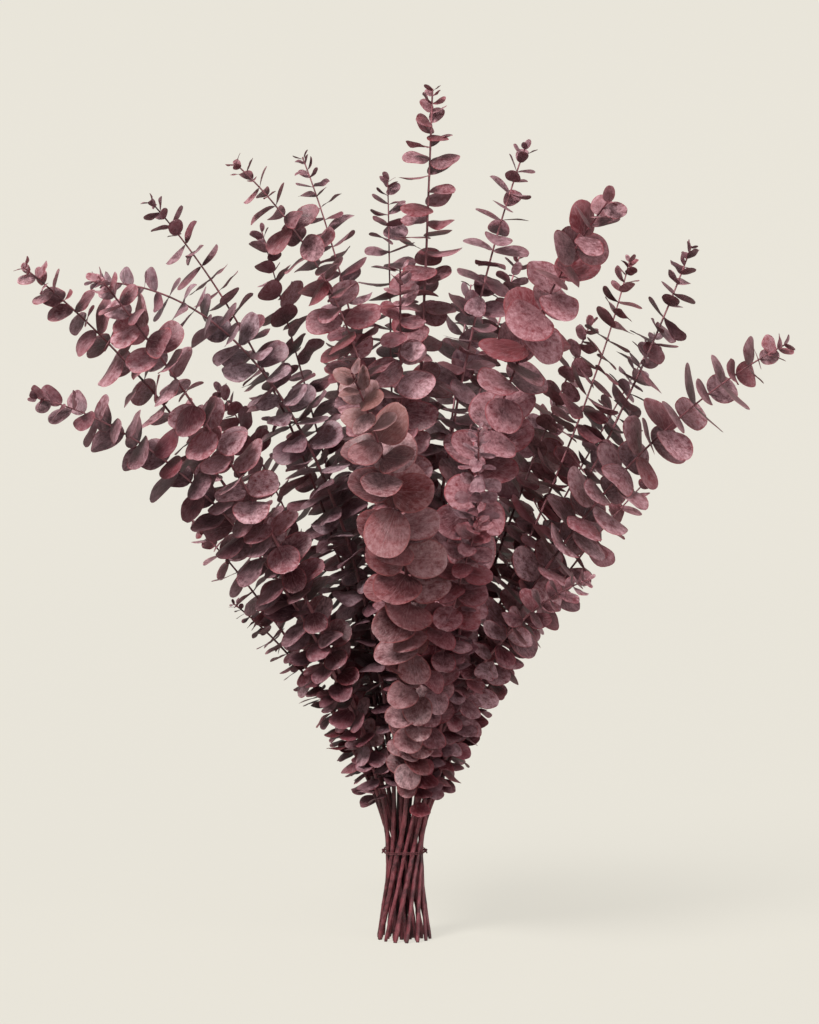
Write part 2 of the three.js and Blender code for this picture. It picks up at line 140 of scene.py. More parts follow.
# A cubic bend measured along its length by chords
class Bend:
    chords = 200

    def __init__(self, *corners):
        self.corners = np.array(corners, float)
        self.times = np.arange(self.chords + 1) / self.chords
        steps = np.linalg.norm(np.diff(self.at(self.times), axis=0), axis=1)
        self.lengths = np.concatenate([[0], np.cumsum(steps)])
        self.reach = self.lengths[-1]

    def at(self, time):
        t = np.asarray(time, float)[..., None]
        k = 1 - t
        a, b, c, d = self.corners
        return k * k * k * a + 3 * k * k * t * b + 3 * k * t * t * c + t * t * t * d

    def timeOf(self, share):
        return np.interp(np.asarray(share) * self.reach, self.lengths, self.times)

    def pointAt(self, share):
        return self.at(self.timeOf(share))

    def runAt(self, share):
        t = self.timeOf(share)
        step = 0.0001
        return unit(self.at(np.clip(t + step, 0, 1)) - self.at(np.clip(t - step, 0, 1)))


def mix(a, b, share):
    return (1 - share) * a + share * b


# Leaves grow longer from the tip down, and are shorter again low in the bunch
def growthFrom(distance, fullLength):
    return min(1, distance / (fullLength * bunch["lengthsToFull"])) ** bunch["growthPower"]


def depthFrom(distance):
    return min(1, distance / bunch["deepFromTip"])


def leafLength(fullLength, distance, height):
    raised = (height - bunch["smallestAtHeight"]) / (bunch["fullSizeFromHeight"] - bunch["smallestAtHeight"])
    deepest = max(fullLength, min(bunch["deepLeaf"], fullLength * bunch["deepGrowth"]))
    deeper = mix(fullLength, deepest, depthFrom(distance))
    longest = mix(min(bunch["lowLeaf"], deeper), deeper, max(0, min(1, raised)))
    return longest * mix(bunch["tipLeafShare"], 1, growthFrom(distance, fullLength))


# A stem runs straight from its foot past the tie, at its ring's waist, then in one bend to its tip
def layStem(ring, slot, row):
    tip, fullLeaf, rounded, droop, sway, pressed, bare, hue = row
    angle = math.radians(ring["firstAngle"] + 360 * slot / len(ring["stems"]))
    waistRadius = ring["steps"] * bunch["ringSpacing"]
    waist = np.array([waistRadius * math.cos(angle), waistRadius * math.sin(angle), bunch["tieHeight"]])
    lean = ring["turn"] * waistRadius * math.sqrt(bunch["footFlare"] ** 2 - 1) / bunch["tieHeight"]
    rise = np.array([-math.sin(angle) * lean, math.cos(angle) * lean, 1])
    chord = np.array(tip, float) - waist
    reach = np.linalg.norm(chord)
    outward = unit(np.array([chord[0], chord[1], 0]))
    end = chord / reach + outward * bunch["droopOutward"] * droop - np.array([0, 0, 1]) * droop
    end = unit(end + np.array([-outward[1], outward[0], 0]) * sway)
    bend = Bend(waist, waist + unit(rise) * bunch["straightAfterTie"] * reach,
                tip - end * bunch["straightAtTip"] * reach, tip)
    # how far from the tip each pair of leaves grows
    distances = []
    distance = bunch["firstPairFromTip"]
    height = tip[2]
    while distance < bend.reach and height > bare:
        distances.append(distance)
        spacing = mix(bunch["spacingAtTip"], bunch["spacingDeep"], depthFrom(distance))
        distance += spacing * leafLength(fullLeaf, distance, height)
        height = bend.pointAt(max(0, 1 - distance / bend.reach))[2]
    return {"foot": waist - bunch["tieHeight"] * rise, "bend": bend, "fullLeaf": fullLeaf,
            "round": rounded, "pressed": pressed, "distances": distances, "hue": hue}


def layStems():
    stems = []
    for ringName, ring in rings.items():
        for slot, row in enumerate(ring["stems"]):
            stem = layStem(ring, slot, row)
            stem["name"] = f"{ringName}_{slot + 1:02d}"
            stem["number"] = len(stems)
            stems.append(stem)
    return stems


def stemRadius(share):
    return (bunch["footDiameter"] + (bunch["tipDiameter"] - bunch["footDiameter"]) * share) / 2


# A leaf as a flat oval: its middle, its long, wide and thick directions, and its half sizes
def leafPlate(stem, pair, side, attempt):
    number = stem["number"]
    distance = stem["distances"][pair]
    share = 1 - distance / stem["bend"].reach
    root = stem["bend"].pointAt(share)
    run = stem["bend"].runAt(share)
    grown = growthFrom(distance, stem["fullLeaf"])
    pressed = grown * stem["pressed"]
    facing = pressed * bunch["facingShare"]
    away = unit(np.array([root[0] - bunch["pressedFrom"][0], root[1] - bunch["pressedFrom"][1], 0]))
    # a pressed leaf lies along the outside of the bunch more than along its stem
    along = unit(run * (1 - facing) + away * facing + np.array([0, 0, bunch["facingUp"] * facing]))
    first = np.array([-away[1], away[0], 0])
    first = unit(first - along * np.dot(first, along))
    second = np.cross(along, first)
    # each new try goes further, to one hand and the other in turn
    nudge = math.ceil(attempt / 2) * (1 if attempt % 2 == 0 else -1)
    crossed = bunch["crossedTurn"] * (1 - bunch["ranksPressed"] * pressed) * (1 if pair % 2 == 0 else -1)
    turn = math.radians(drawAbout(bunch["startTurn"], "startTurn", number) + bunch["pairDrift"] * pair
                        + crossed + 180 * side + bunch["retryTurn"] * nudge
                        + drawAbout(bunch["pairTurn"], "turn", number, pair, wholePair)
                        + drawAbout(bunch["turnSpread"], "turn", number, pair, side))
    # both leaves of a pair share a plane, which tilts and rolls as one
    handed = 1 - 2 * side
    lift = math.radians(mix(bunch["liftAtTip"], bunch["liftFullSize"], grown) + bunch["retryLift"] * attempt
                        + handed * drawAbout(bunch["pairTilt"], "lift", number, pair, wholePair)
                        + drawAbout(bunch["liftSpread"], "lift", number, pair, side))
    roll = math.radians(bunch["retryRoll"] * nudge
                        + handed * drawAbout(bunch["pairRoll"], "roll", number, pair, wholePair)
                        + drawAbout(bunch["rollSpread"], "roll", number, pair, side))
    length = (leafLength(stem["fullLeaf"], distance, root[2]) * (1 - bunch["retryShrink"] * attempt)
              * (1 + drawAbout(bunch["lengthSpread"], "length", number, pair, side)))
    rounded = mix(stem["round"], max(stem["round"], bunch["deepRound"]), depthFrom(distance))
    width = (length * (rounded - bunch["tipNarrowing"] * (1 - grown))
             * (1 + drawAbout(bunch["widthSpread"], "width", number, pair, side)))
    out = first * math.cos(turn) + second * math.sin(turn)
    long = out * math.cos(lift) + along * math.sin(lift)
    flat = unit(np.cross(along, out))
    wide = flat * math.cos(roll) + np.cross(long, flat) * math.sin(roll)
    return {"number": number, "pair": pair, "side": side, "root": root,
            "long": long, "wide": wide, "thick": np.cross(long, wide),
            "middle": root + long * (bunch["stalkLength"] + length / 2),
            "halfLength": length / 2, "halfWidth": width / 2}


# True for each line of points that passes through its leaf, or comes nearer than the clearance
def linesMeet(lines, middle, long, wide, thick, halfLength, halfWidth, clearance, margin):
    offset = lines - middle[..., None, :]
    height = np.einsum("...pk,...k->...p", offset, thick)
    along = np.einsum("...pk,...k->...p", offset, long) / (halfLength + margin)[..., None]
    beside = np.einsum("...pk,...k->...p", offset, wide) / (halfWidth + margin)[..., None]
    near = (np.abs(height) < clearance) & (along * along + beside * beside < 1)
    through = height[..., :-1] * height[..., 1:] < 0
    with np.errstate(divide="ignore", invalid="ignore"):
        share = height[..., :-1] / (height[..., :-1] - height[..., 1:])
        alongAt = along[..., :-1] + share * (along[..., 1:] - along[..., :-1])
        besideAt = beside[..., :-1] + share * (beside[..., 1:] - beside[..., :-1])
        through &= alongAt * alongAt + besideAt * besideAt < 1
    return near.any(axis=-1) | through.any(axis=-1)


# Every leaf that is set so far, in arrays, so that a new one is tried against all of them at once
class LeafCrowd:
    most = 4000  # more than the stems can hold
    angles = np.arange(bunch["rimCount"] + 1) % bunch["rimCount"] * (math.tau / bunch["rimCount"])

    def __init__(self, stems):
        fine = np.arange(bunch["stemPoints"] + 1) / bunch["stemPoints"]
        self.stemLines = [np.vstack([stem["foot"][None], stem["bend"].pointAt(fine)]) for stem in stems]
        self.stemRadii = np.concatenate([[stemRadius(0)], stemRadius(fine)])
        self.leaves = []
        self.middle, self.long, self.wide, self.thick = (np.zeros((self.most, 3)) for _ in range(4))
        self.halfLength, self.halfWidth = np.zeros(self.most), np.zeros(self.most)
        self.rim = np.zeros((self.most, bunch["rimCount"] + 1, 3))

    def rimOf(self, leaf):
        return (leaf["middle"] + np.outer(np.cos(self.angles) * leaf["halfLength"], leaf["long"])
                + np.outer(np.sin(self.angles) * leaf["halfWidth"], leaf["wide"]))

    def meetsStems(self, leaf):
        for number, line in enumerate(self.stemLines):
            if number == leaf["number"]:
                continue
            near = np.nonzero(np.linalg.norm(line - leaf["middle"], axis=1)
                              < leaf["halfLength"] + bunch["stemMargin"])[0]
            if len(near) == 0:
                continue
            radius = self.stemRadii[near[0]]
            clearance = radius + bunch["bladeThickness"] / 2 + bunch["seatGap"]
            if linesMeet(line[near], leaf["middle"], leaf["long"], leaf["wide"], leaf["thick"],
                         np.array(leaf["halfLength"]), np.array(leaf["halfWidth"]),
                         clearance, radius + bunch["seatGap"]):
                return True
        return False

    def meetsLeaves(self, leaf, rim):
        count = len(self.leaves)
        reach = self.halfLength[:count] + leaf["halfLength"] + bunch["clearance"]
        k = np.nonzero(((self.middle[:count] - leaf["middle"]) ** 2).sum(axis=1) <= reach ** 2)[0]
        if len(k) == 0:
            return False
        tight = (bunch["clearance"], bunch["rimMargin"])
        if linesMeet(np.broadcast_to(rim, (len(k),) + rim.shape), self.middle[k], self.long[k],
                     self.wide[k], self.thick[k], self.halfLength[k], self.halfWidth[k], *tight).any():
            return True
        same = [np.broadcast_to(leaf[key], (len(k), 3)) for key in ("middle", "long", "wide", "thick")]
        halves = [np.full(len(k), leaf[key]) for key in ("halfLength", "halfWidth")]
        return linesMeet(self.rim[k], *same, *halves, *tight).any()

    def add(self, leaf, rim):
        k = len(self.leaves)
        for key in ("middle", "long", "wide", "thick", "halfLength", "halfWidth"):
            getattr(self, key)[k] = leaf[key]
        self.rim[k] = rim
        self.leaves.append(leaf)


# Leaves are set from the tips down, turned and lifted until each is clear of all that are set
def setLeaves(stems):
    crowd = LeafCrowd(stems)
    for pair in range(max(len(stem["distances"]) for stem in stems)):
        for stem in stems:
            if pair >= len(stem["distances"]):
                continue
            for side in (0, 1):
                for attempt in range(bunch["tries"]):
                    leaf = leafPlate(stem, pair, side, attempt)
                    rim = crowd.rimOf(leaf)
                    if not crowd.meetsStems(leaf) and not crowd.meetsLeaves(leaf, rim):
                        crowd.add(leaf, rim)
                        break
    return crowd.leaves


# Nodes are added one by one, each with its fixed values and links given by socket name or number
def addNode(tree, kind, inputs=None, **settings):
    node = tree.nodes.new(kind)
    for key, value in settings.items():
        setattr(node, key, value)
    for key, value in (inputs or {}).items():
        socket = node.inputs[key]
        if isinstance(value, bpy.types.NodeSocket):
            tree.links.new(value, socket)
        else:
            socket.default_value = value
    return node


def mathNode(tree, operation, *values):
    return addNode(tree, "ShaderNodeMath", dict(enumerate(values)), operation=operation).outputs[0]


def vectorNode(tree, operation, *values):
    return addNode(tree, "ShaderNodeVectorMath", dict(enumerate(values)), operation=operation).outputs[0]


def scaleNode(tree, vector, scale):
    return addNode(tree, "ShaderNodeVectorMath", {0: vector, "Scale": scale}, operation="SCALE").outputs[0]


def lengthNode(tree, vector):
    return addNode(tree, "ShaderNodeVectorMath", {0: vector}, operation="LENGTH").outputs["Value"]


def splitNode(tree, vector):
    return addNode(tree, "ShaderNodeSeparateXYZ", {0: vector}).outputs


def setInputs(modifier, values):
    for item in modifier.node_group.interface.items_tree:
        if item.in_out == "INPUT" and item.name in values:
            modifier[item.identifier] = values[item.name]


def newTree(name, sockets):
    tree = bpy.data.node_groups.new(name, "GeometryNodeTree")
    tree.interface.new_socket("Geometry", in_out="INPUT", socket_type="NodeSocketGeometry")
    for label, kind in sockets.items():
        tree.interface.new_socket(label, in_out="INPUT", socket_type="NodeSocket" + kind)
    tree.interface.new_socket("Geometry", in_out="OUTPUT", socket_type="NodeSocketGeometry")
    return tree, tree.nodes.new("NodeGroupInput").outputs, tree.nodes.new("NodeGroupOutput").inputs[0]


def namedValue(tree, name, kind="FLOAT_VECTOR"):
    return addNode(tree, "GeometryNodeInputNamedAttribute", {"Name": name}, data_type=kind).outputs[0]


# Values that a mesh carries on its points or edges
def addValues(mesh, domain, values):
    for name, data in values.items():
        data = np.asarray(data)
        kind = "BOOLEAN" if data.dtype == bool else "FLOAT_VECTOR" if data.ndim == 2 else "FLOAT"
        attribute = mesh.attributes.new(name, kind, domain)
        flat = data.ravel() if data.dtype == bool else data.astype(np.float32).ravel()
        attribute.data.foreach_set("vector" if data.ndim == 2 else "value", flat)


def lineMesh(name, points, edges, values):
    mesh = bpy.data.meshes.new(name)
    mesh.from_pydata(points.tolist(), edges, [])
    addValues(mesh, "POINT", values)
    return mesh


# The result of a tree on a source mesh, as a plain object with its place in its mesh
def grow(name, sourceMesh, tree, values):
    source = bpy.data.objects.new("source", sourceMesh)
    scene.collection.objects.link(source)
    modifier = source.modifiers.new(tree.name, "NODES")
    modifier.node_group = tree
    setInputs(modifier, values)
    bpy.context.view_layer.update()
    evaluated = source.evaluated_get(bpy.context.evaluated_depsgraph_get())
    mesh = bpy.data.meshes.new_from_object(evaluated)
    source.modifiers.remove(modifier)
    bpy.data.objects.remove(source)
    mesh.name = name
    piece = bpy.data.objects.new(name, mesh)
    scene.collection.objects.link(piece)
    return piece


# A tube along a path, with a radius at each point, that keeps the place round it
def tubeAlong(tree, path, sides, radius):
    circle = addNode(tree, "GeometryNodeCurvePrimitiveCircle", {"Resolution": sides, "Radius": 1.0},
                     mode="RADIUS")
    place = addNode(tree, "GeometryNodeInputPosition").outputs[0]
    profile = addNode(tree, "GeometryNodeStoreNamedAttribute",
                      {"Geometry": circle.outputs[0], "Name": "aroundTube", "Value": place},
                      data_type="FLOAT_VECTOR", domain="POINT")
    return addNode(tree, "GeometryNodeCurveToMesh",
                   {"Curve": path, "Profile Curve": profile.outputs[0], "Scale": radius,
                    "Fill Caps": True}).outputs[0]


# What a join gives, shaded smooth and as real geometry, because the export drops instances
def smoothAndReal(tree, joined):
    smooth = addNode(tree, "GeometryNodeSetShadeSmooth", {0: joined.outputs[0]})
    return addNode(tree, "GeometryNodeRealizeInstances", {0: smooth.outputs[0]}).outputs[0]


# The leaf that others are made from: a thin closed lens, 1 long and 1 wide, on a small square stalk.
# Stems with large leaves have a finer one.
leafForm = {
    "small": {"segments": 12, "across": (-1, 0, 1)},
    "large": {"segments": 16, "across": (-1, -0.5, 0, 0.5, 1)}, "largeFrom": 30,
    "blunt": 0.84, "stalkHalfWidth": 0.035, "thickness": 0.36,
    "tipFrom": 0.999, "notched": -0.05, "pointed": 0.015,
    "curl": 0.17, "cup": 0.14, "taperNarrow": 2.0, "taperRound": -0.2, "taper": 0.28,
    "wave": 0.065, "wavePhase": 6, "fewestWaves": 3, "moreWaves": 5, "waveAcross": 3.0,
}


def unitLeaf(size):
    segments, across = leafForm[size]["segments"], leafForm[size]["across"]
    rows = [(0, leafForm["stalkHalfWidth"], 1)]
    for k in range(segments):
        angle = math.pi * k / segments
        half = math.sin(angle) ** leafForm["blunt"] / 2
        rows.append(((1 - math.cos(angle)) / 2, max(half, leafForm["stalkHalfWidth"]), 0))
    places, stalks, reaches = [], [], []
    for along, half, stalk in rows:
        loop = [(v, 1) for v in across] + [(v, -1) for v in across[-2:0:-1]]
        for v, side in loop:
            raised = (1 - v * v) if stalk == 0 else (1 - abs(v))
            places.append((along, v * half, side * raised / 2))
            stalks.append(stalk)
            reaches.append(abs(v))
    tip = len(places)
    places.append((1, 0, 0))
    stalks.append(0)
    reaches.append(1)
    ring = 2 * len(across) - 2
    faces = [tuple(range(ring))]
    for row in range(len(rows) - 1):
        for k in range(ring):
            a, b = row * ring + k, row * ring + (k + 1) % ring
            faces.append((a, a + ring, b + ring, b))
    last = (len(rows) - 1) * ring
    faces += [(last + k, tip, last + (k + 1) % ring) for k in range(ring)]
    mesh = bpy.data.meshes.new(size + "Leaf")
    mesh.from_pydata(places, [], faces)
    rim = {row * ring + k for row in range(len(rows)) for k in (0, len(across) - 1)} | {tip}
    addValues(mesh, "EDGE", {"sharp_edge": [rim.issuperset(edge.vertices) for edge in mesh.edges]})
    addValues(mesh, "POINT", {"leafPlace": places, "stalk": stalks, "towardsRim": reaches})
    return bpy.data.objects.new(size + "Leaf", mesh)


# A tube along the stem's points, and on each leaf point the unit leaf, sized, curled, cupped and waved
# by the point's own values
def leafyStemTree():
    tree, given, result = newTree("leafyStem", {
        "Leaf": "Object", "Leaf thickness": "Float", "Stalk length": "Float", "Stem sides": "Int",
        "Leaf finish": "Material", "Bark finish": "Material",
    })
    isLeaf = namedValue(tree, "isLeaf", "BOOLEAN")
    parts = addNode(tree, "GeometryNodeSeparateGeometry", {0: given["Geometry"], 1: isLeaf}, domain="POINT")

    form = addNode(tree, "GeometryNodeObjectInfo", {"Object": given["Leaf"]})
    onPoints = addNode(tree, "GeometryNodeInstanceOnPoints",
                       {"Points": parts.outputs["Selection"], "Instance": form.outputs["Geometry"]})
    leaves = addNode(tree, "GeometryNodeRealizeInstances", {0: onPoints.outputs[0]})
    place = splitNode(tree, namedValue(tree, "leafPlace"))
    size = splitNode(tree, namedValue(tree, "leafSize"))
    bend = splitNode(tree, namedValue(tree, "leafBend"))
    outline = splitNode(tree, namedValue(tree, "leafOutline"))
    taper = mathNode(tree, "MULTIPLY_ADD", mathNode(tree, "SUBTRACT", place["X"], 0.5), outline["X"], 1.0)
    across = mathNode(tree, "MULTIPLY", place["Y"], taper)
    # the blade starts where the stalk ends
    onBlade = mathNode(tree, "SUBTRACT", 1.0, namedValue(tree, "stalk", "FLOAT"))
    start = mathNode(tree, "MULTIPLY", onBlade, given["Stalk length"])
    # the tip is drawn out on some leaves and notched on others
    atTip = mathNode(tree, "GREATER_THAN", place["X"], leafForm["tipFrom"])
    tip = mathNode(tree, "MULTIPLY", atTip, size["Z"])
    x = mathNode(tree, "MULTIPLY_ADD", mathNode(tree, "ADD", place["X"], tip), size["X"], start)
    y = mathNode(tree, "MULTIPLY", across, size["Y"])
    # the curl runs along the leaf, the cup lifts both its sides, and the wave runs round its rim
    towardsRim = mathNode(tree, "MULTIPLY", across, 2.0)
    rimSquared = mathNode(tree, "MULTIPLY", towardsRim, towardsRim)
    curl = mathNode(tree, "MULTIPLY", mathNode(tree, "POWER", place["X"], 2.0), bend["X"])
    cup = mathNode(tree, "MULTIPLY", rimSquared, bend["Y"])
    phase = mathNode(tree, "MULTIPLY_ADD", place["X"], outline["Z"], outline["Y"])
    phase = mathNode(tree, "MULTIPLY_ADD", place["Y"], leafForm["waveAcross"], phase)
    wave = mathNode(tree, "MULTIPLY", mathNode(tree, "SINE", phase), bend["Z"])
    lift = mathNode(tree, "ADD", curl, mathNode(tree, "MULTIPLY_ADD", wave, rimSquared, cup))
    lift = mathNode(tree, "MULTIPLY", lift, size["X"])
    z = mathNode(tree, "MULTIPLY_ADD", place["Z"], given["Leaf thickness"], lift)
    flat = addNode(tree, "ShaderNodeCombineXYZ", {0: x, 1: y, 2: z}).outputs[0]
    turn = addNode(tree, "FunctionNodeEulerToRotation", {0: namedValue(tree, "leafTurn")}).outputs[0]
    turned = addNode(tree, "FunctionNodeRotateVector", {"Vector": flat, "Rotation": turn}).outputs[0]
    placed = vectorNode(tree, "ADD", turned, namedValue(tree, "leafRoot"))
    leaves = addNode(tree, "GeometryNodeSetPosition", {"Geometry": leaves.outputs[0], "Position": placed})

    path = addNode(tree, "GeometryNodeMeshToCurve", {0: parts.outputs["Inverted"]}).outputs[0]
    stem = tubeAlong(tree, path, given["Stem sides"], namedValue(tree, "stemRadius", "FLOAT"))
    # the cut ends are level with the surface that the bunch stands on
    position = addNode(tree, "GeometryNodeInputPosition").outputs[0]
    farCorner = (-1.0, -1.0, 0.0)
    level = vectorNode(tree, "MAXIMUM", position, farCorner)
    stem = addNode(tree, "GeometryNodeSetPosition", {"Geometry": stem, "Position": level})

    joined = addNode(tree, "GeometryNodeJoinGeometry")
    tree.links.new(leaves.outputs[0], joined.inputs[0])
    tree.links.new(stem.outputs[0], joined.inputs[0])
    barked = addNode(tree, "GeometryNodeSetMaterial",
                     {0: smoothAndReal(tree, joined), "Material": given["Bark finish"]})
    done = addNode(tree, "GeometryNodeSetMaterial",
                   {0: barked.outputs[0], "Selection": isLeaf, "Material": given["Leaf finish"]})
    tree.links.new(done.outputs[0], result)
    return tree


# A stem's own shape: a swelling at each leaf scar, slight bends, and its thickness among the others
stemShape = {
    "sides": 10, "step": 2.6, "footSteps": 26, "edgeRound": 0.82, "thinner": 0.3,
    "swelling": 0.12, "swellingReach": 1.4, "scarSpacing": 19, "scarDrift": 0.5, "scarsBelowLeaves": 11,
    "bends": 0.4, "bendLength": 64,
}


# The points along a stem, its radius at each and how far along each lies
def stemLine(stem):
    number, bend = stem["number"], stem["bend"]
    count = int(bend.reach / stemShape["step"])
    rise = bend.pointAt(0) - stem["foot"]
    low = np.linspace(0, 1, stemShape["footSteps"], endpoint=False)[:, None]
    points = np.vstack([stem["foot"] + rise * low, bend.pointAt(np.arange(count + 1) / count)])
    shares = np.concatenate([np.zeros(stemShape["footSteps"]), np.arange(count + 1) / count])
    along = np.concatenate([[0], np.cumsum(np.linalg.norm(np.diff(points, axis=0), axis=1))])
    # scars of pairs of leaves, and of those that have dropped off below them
    scars = [along[-1] - distance for distance in stem["distances"]]
    below = [k + stemShape["scarDrift"] * draw("scar", number, k, wholePair)
             for k in range(1, stemShape["scarsBelowLeaves"] + 1)]
    scars += [scars[-1] - stemShape["scarSpacing"] * k for k in below]
    away = np.abs(along[:, None] - np.array(scars)[None]).min(axis=1)
    radius = np.array([stemRadius(share) for share in shares])
    radius *= 1 - stemShape["thinner"] * draw("thinness", number)
    radius *= 1 + stemShape["swelling"] * np.exp(-(away / stemShape["swellingReach"]) ** 2)
    radius[0] *= stemShape["edgeRound"]
    started = np.minimum(1, along / stemShape["bendLength"])
    for axis in (0, 1):
        phase = 2 * math.pi * draw("bendPhase", number, axis)
        sway = np.sin(along * 2 * math.pi / stemShape["bendLength"] + phase)
        points[:, axis] += stemShape["bends"] * sway * started * (1 - shares)
    return points, radius, along


# What each leaf's point carries for the tree and the finishes
def leafValues(stem, leaf):
    key = (stem["number"], leaf["pair"], leaf["side"])
    basis = Matrix([leaf["long"], leaf["wide"], leaf["thick"]]).transposed()
    notch = mix(leafForm["notched"], leafForm["pointed"], draw("notch", *key))
    taper = (leafForm["taperNarrow"] * (1 - stem["round"]) + leafForm["taperRound"]
             + drawAbout(leafForm["taper"], "taper", *key))
    return {
        "leafRoot": leaf["root"] * mm,
        "leafTurn": tuple(basis.to_euler("XYZ")),
        "leafSize": (2 * leaf["halfLength"] * mm, 2 * leaf["halfWidth"] * mm, notch),
        "leafBend": (drawAbout(leafForm["curl"], "curl", *key), drawAbout(leafForm["cup"], "cup", *key),
                     leafForm["wave"] * draw("wave", *key)),
        "leafOutline": (taper, leafForm["wavePhase"] * draw("wavePhase", *key),
                        leafForm["fewestWaves"] + leafForm["moreWaves"] * draw("waveCount", *key)),
        "leafSeed": draw("leafSeed", *key),
    }


def leafyStemPiece(stem, leaves, tree, unitShapes, finishes):
    line, radius, along = stemLine(stem)
    ofLeaves = [leafValues(stem, leaf) for leaf in leaves]
    count = len(line)
    onLeaves = np.zeros(len(leaves))
    values = {"isLeaf": np.arange(count + len(leaves)) >= count}
    for name in ("leafRoot", "leafTurn", "leafSize", "leafBend", "leafOutline"):
        values[name] = np.vstack([np.zeros((count, 3)), [each[name] for each in ofLeaves]])
    onStem = np.full(count, draw("stemSeed", stem["number"]))
    values["leafSeed"] = np.concatenate([onStem, [each["leafSeed"] for each in ofLeaves]])
    values["stemRadius"] = np.concatenate([radius * mm, onLeaves])
    values["alongStem"] = np.concatenate([along * mm, onLeaves])
    points = np.vstack([line, [leaf["root"] for leaf in leaves]]) * mm
    mesh = lineMesh("stemPoints", points, [(k, k + 1) for k in range(count - 1)], values)
    ringName, slot = stem["name"].split("_")
    size = "large" if stem["fullLeaf"] > leafForm["largeFrom"] else "small"
    piece = grow("leafyStem" + ringName.capitalize() + slot, mesh, tree, {
        "Leaf": unitShapes[size], "Leaf thickness": leafForm["thickness"] * mm,
        "Stalk length": bunch["stalkLength"] * mm, "Stem sides": stemShape["sides"],
        "Leaf finish": finishes[stem["hue"]], "Bark finish": finishes["bark"],
    })
    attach(piece, "root")
    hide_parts("leafy_stem_" + stem["name"])


def leafyStemPieces(stems, leaves, finishes):
    tree = leafyStemTree()
    unitShapes = {size: unitLeaf(size) for size in ("small", "large")}
    for stem in stems:
        own = [leaf for leaf in leaves if leaf["number"] == stem["number"]]
        leafyStemPiece(stem, own, tree, unitShapes, finishes)
    for shape in unitShapes.values():
        bpy.data.objects.remove(shape)


# Shader groups, with named inputs and outputs
def newGroup(name, inputs, outputs):
    tree = bpy.data.node_groups.new(name, "ShaderNodeTree")
    for label, (kind, value) in inputs.items():
        socket = tree.interface.new_socket(label, in_out="INPUT", socket_type="NodeSocket" + kind)
        socket.default_value = value
    for label, kind in outputs.items():
        tree.interface.new_socket(label, in_out="OUTPUT", socket_type="NodeSocket" + kind)
    return tree, tree.nodes.new("NodeGroupInput").outputs, tree.nodes.new("NodeGroupOutput").inputs


def fillGroup(tree, group, inputs):
    return addNode(tree, "ShaderNodeGroup", inputs, node_tree=group).outputs


def surfaceValue(tree, name, output):
    return addNode(tree, "ShaderNodeAttribute", attribute_name=name).outputs[output]


def blendColours(tree, share, a, b):
    return addNode(tree, "ShaderNodeMix", {0: share, 6: a, 7: b}, data_type="RGBA").outputs[2]


# Smoothly from 0 at one value to 1 at another
def ramp(tree, value, low, high):
    return addNode(tree, "ShaderNodeMapRange", {0: value, 1: low, 2: high, 3: 0.0, 4: 1.0},
                   interpolation_type="SMOOTHSTEP").outputs[0]


# Soft patches of one thing over another, so many to a metre, from 0 at one value of the noise to 1 at another
def patchesGroup():
    tree, given, made = newGroup("patches", {
        "Place": ("Vector", (0, 0, 0)), "Patches per metre": ("Float", 100.0),
        "Least": ("Float", 0.45), "Most": ("Float", 0.6), "Roughness": ("Float", 0.6),
    }, {"Mask": "Float"})
    noise = addNode(tree, "ShaderNodeTexNoise", {
        "Vector": given["Place"], "Scale": given["Patches per metre"],
        "Detail": 4.0, "Roughness": given["Roughness"],
    })
    tree.links.new(ramp(tree, noise.outputs[0], given["Least"], given["Most"]), made["Mask"])
    return tree


def patchesAt(tree, group, place, perMetre, least, most, roughness=0.6):
    return fillGroup(tree, group, {
        "Place": place, "Patches per metre": perMetre, "Least": least, "Most": most, "Roughness": roughness,
    })["Mask"]


# Where the marks of a leaf lie, with places and widths as shares of its length and width
leafMarks = {
    "outwardFromStalk": 0.65, "outwardFromMiddle": 0.35, "rim": (0.9, 0.965), "under": (0.0, -0.001),
    "midribWidth": 0.018, "midribNarrows": -0.014, "midribEdge": 0.4,
    "fanBehindStalk": 0.12, "seedShift": 40.0,
    "veinStretch": 3.0, "veinDetail": 1.0, "veinEdge": (0.003, 0.03),
    "streakStretch": 7.0, "streakDetail": 3.0, "streakEdge": (0.36, 0.64),
}


